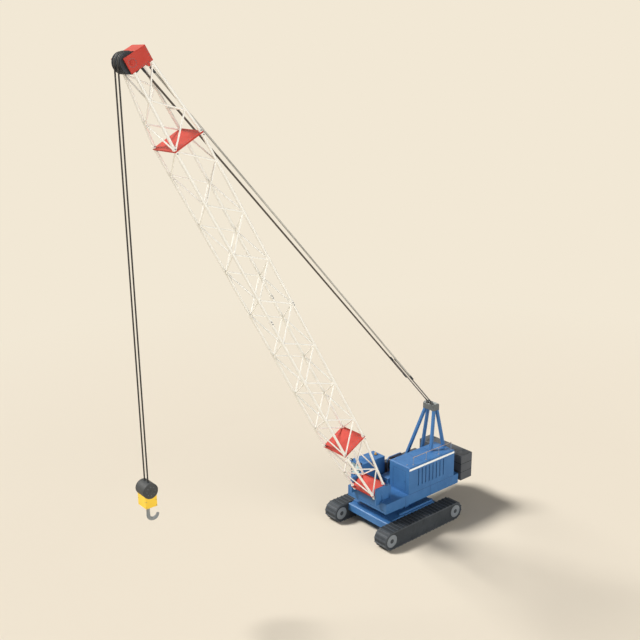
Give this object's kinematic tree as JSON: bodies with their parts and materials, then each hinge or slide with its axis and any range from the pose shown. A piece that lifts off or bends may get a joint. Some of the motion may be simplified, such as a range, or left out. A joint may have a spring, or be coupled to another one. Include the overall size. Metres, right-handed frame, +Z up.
{
  "type": "crawler crane",
  "caption": "Crawler crane with lattice boom on slewing upperworks, gantry, pendants, hook block on hoist rope, side cab, engine house and slab counterweight",
  "frame": {"origin": "On the ground, on the slewing axis, midway between the two tracks", "axes": "+Z up, the boom points towards -Y, +X towards the operator's left"},
  "size_m": [4.95, 20.3387, 25.7676],
  "materials": {
    "blue_paint": "satin paint",
    "red_paint": "satin paint",
    "ivory_paint": "satin paint",
    "yellow_paint": "satin paint",
    "ballast_paint": "matt paint",
    "track_steel": "worn, matt",
    "hub_paint": "satin paint",
    "dark_steel": "matt paint",
    "rope_steel": "greased wire",
    "hook_steel": "forged, painted grey",
    "pin_steel": "machined",
    "cab_glazing": "clear, faint blue",
    "seat_trim": "woven",
    "console_plastic": "grained",
    "amber_lens": "translucent amber",
    "lamp_housing": "moulded"
  },
  "bodies": {
    "undercarriage": {"left_track": "track_steel", "right_track": "track_steel", "left_track_frame": "dark_steel", "right_track_frame": "dark_steel", "left_end_wheels": "hub_paint", "right_end_wheels": "hub_paint", "carbody": "blue_paint", "slewing_ring": "pin_steel"},
    "upperworks": {"deck": "blue_paint", "boom_foot_brackets": "blue_paint", "boom_foot_pins": "pin_steel", "cab_platform": "blue_paint", "engine_house": "blue_paint", "engine": "dark_steel", "handrail": "blue_paint", "cab": "blue_paint", "cab_glass": "cab_glazing", "door_hinges": "dark_steel", "operator_seat": "seat_trim", "control_consoles": "console_plastic", "beacon": "amber_lens", "work_lights": "lamp_housing", "winch_frame": "ballast_paint", "service_tank": "ballast_paint", "battery_box": "blue_paint", "counterweight_1": "ballast_paint", "counterweight_2": "ballast_paint", "counterweight_3": "ballast_paint", "counterweight_hangers": "dark_steel", "gantry_front_legs": "blue_paint", "gantry_rear_legs": "blue_paint", "gantry_header": "ballast_paint"},
    "door": {"cab_door": "blue_paint", "door_glass": "cab_glazing"},
    "hoist_winch": {"hoist_drum": "dark_steel"},
    "luffing_winch": {"luffing_drum": "dark_steel"},
    "boom": {"boom_foot": "red_paint", "boom_butt_chords": "ivory_paint", "boom_butt_lacing": "ivory_paint", "boom_lower_insert_chords": "ivory_paint", "boom_lower_insert_lacing": "ivory_paint", "boom_upper_insert_chords": "ivory_paint", "boom_upper_insert_lacing": "ivory_paint", "boom_top_chords": "ivory_paint", "boom_top_lacing": "ivory_paint", "boom_splice_plates": "red_paint", "boom_head": "red_paint", "head_axle": "pin_steel"},
    "point_sheaves": {"head_sheaves": "dark_steel"},
    "pendants": {"boom_pendants": "rope_steel"},
    "luffing_rope": {"luffing_falls": "rope_steel"},
    "load_line": {"hoist_ropes": "rope_steel", "hook_block_sheaves": "dark_steel", "hook_block_body": "yellow_paint"},
    "hook_swivel": {"hook": "hook_steel"}
  },
  "joints": [
    {"name": "slew", "type": "hinge", "parent": "undercarriage", "child": "upperworks", "pos_m": [0, 0, 1.592], "axis": [0, 0, 1], "continuous": true},
    {"name": "boom_luff", "type": "hinge", "parent": "upperworks", "child": "boom", "pos_m": [0, -1.94, 2.667], "axis": [-1, 0, 0], "range_deg": [-19, 18]},
    {"name": "pendant_pivot", "type": "hinge", "parent": "boom", "child": "pendants", "pos_m": [0, -14.10334, 25.02403], "axis": [-1, 0, 0], "range_deg": [-1, 1]},
    {"name": "luffing_rope_pivot", "type": "hinge", "parent": "upperworks", "child": "luffing_rope", "pos_m": [0, 2.76, 6.412], "axis": [-1, 0, 0], "range_deg": [-19, 18]},
    {"name": "load_line_hang", "type": "hinge", "parent": "boom", "child": "load_line", "pos_m": [0, -14.84624, 25.08667], "axis": [-1, 0, 0], "range_deg": [-18.5, 19.5]},
    {"name": "hook_turn", "type": "hinge", "parent": "load_line", "child": "hook_swivel", "pos_m": [0, -15.27074, 6.267], "axis": [0, 0, 1], "continuous": true},
    {"name": "point_sheave_turn", "type": "hinge", "parent": "boom", "child": "point_sheaves", "pos_m": [0, -14.84624, 25.08667], "axis": [1, 0, 0], "continuous": true},
    {"name": "hoist_drum_turn", "type": "hinge", "parent": "upperworks", "child": "hoist_winch", "pos_m": [-0.54, 0.85, 2.8], "axis": [1, 0, 0], "continuous": true},
    {"name": "luffing_drum_turn", "type": "hinge", "parent": "upperworks", "child": "luffing_winch", "pos_m": [-0.54, 1.42, 2.56], "axis": [1, 0, 0], "continuous": true},
    {"name": "cab_door_swing", "type": "hinge", "parent": "upperworks", "child": "door", "pos_m": [-1.877, -0.628, 2.8], "axis": [0, 0, -1], "range_deg": [0, 105]}
  ],
  "couplings": [
    {"joint": "pendant_pivot", "follows": "boom_luff", "ratio": -0.014},
    {"joint": "luffing_rope_pivot", "follows": "boom_luff", "ratio": 0.986},
    {"joint": "load_line_hang", "follows": "boom_luff", "ratio": -1}
  ]
}
